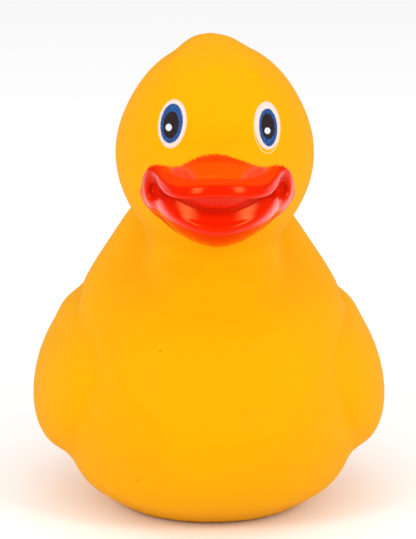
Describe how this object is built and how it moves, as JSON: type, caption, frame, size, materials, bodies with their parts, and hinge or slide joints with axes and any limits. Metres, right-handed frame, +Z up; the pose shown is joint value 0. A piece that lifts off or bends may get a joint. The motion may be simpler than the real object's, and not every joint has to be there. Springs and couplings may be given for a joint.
{
  "type": "rubber duck",
  "caption": "Hollow moulded rubber duck with a smiling bill, folded wings, an upturned tail and a flat base to stand on.",
  "frame": {"origin": "middle of the duck's plan at the level of the flat base", "axes": "+Z up, -Y the way the bill points, +X the duck's left side"},
  "size_m": [0.0724, 0.0898, 0.098],
  "materials": {
    "vinyl": "matt yellow soft vinyl, with a glossy orange-red painted bill and printed eyes"
  },
  "bodies": {
    "root": {"duck": "vinyl"}
  },
  "joints": []
}
